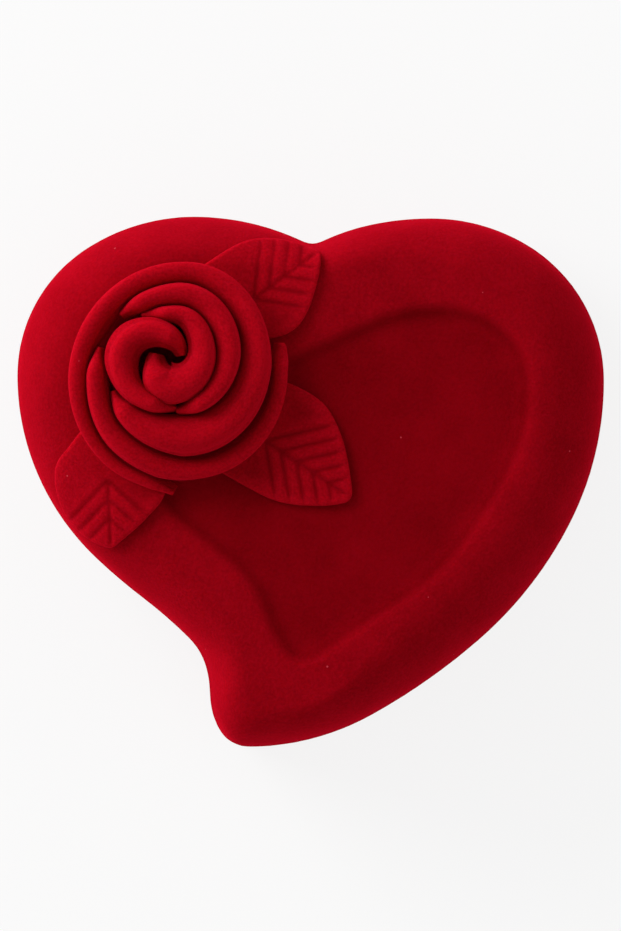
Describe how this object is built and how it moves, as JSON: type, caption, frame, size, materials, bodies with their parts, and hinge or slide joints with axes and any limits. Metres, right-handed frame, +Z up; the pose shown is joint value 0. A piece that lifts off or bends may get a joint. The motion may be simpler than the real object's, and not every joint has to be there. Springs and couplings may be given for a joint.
{
  "type": "hinged heart gift box",
  "caption": "Heart-shaped hinged gift box in red flocked plastic, its crowned lid set with a sunken heart panel, a wound rose and leaves, with ring cushions and a padded lid inside.",
  "frame": {"origin": "centre of the box's outline on the surface it stands on", "axes": "+X across the heart's two lobes, +Y from the heart's tip to the notch with the hinge, +Z up through the rose"},
  "size_m": [0.068, 0.0615, 0.0426],
  "materials": {
    "flock_red": "matte",
    "flock_ivory": "matte",
    "cushion_velvet": "matte",
    "satin": "satin",
    "liner_card": "matte",
    "hinge_steel": "satin",
    "spring_steel": "satin"
  },
  "bodies": {
    "base": {"base_shell": "flock_red", "insert_tray": "flock_ivory", "cushion_front": "cushion_velvet", "cushion_rear": "cushion_velvet", "hinge_leaf_base": "hinge_steel", "hinge_pin": "hinge_steel", "hinge_spring": "spring_steel"},
    "lid": {"lid_shell": "flock_red", "hinge_leaf_lid": "hinge_steel", "lid_liner_card": "liner_card", "lid_liner_pad": "satin", "leaf_upper": "flock_red", "leaf_left": "flock_red", "leaf_right": "flock_red", "rose_petal_1": "flock_red", "rose_petal_2": "flock_red", "rose_petal_3": "flock_red", "rose_petal_4": "flock_red", "rose_petal_5": "flock_red"}
  },
  "joints": [
    {"name": "lid_hinge", "type": "hinge", "parent": "base", "child": "lid", "pos_m": [0.0002, 0.0261, 0.0171], "axis": [-1, 0, 0], "range_deg": [0, 90], "deforming": ["hinge_spring"]}
  ]
}
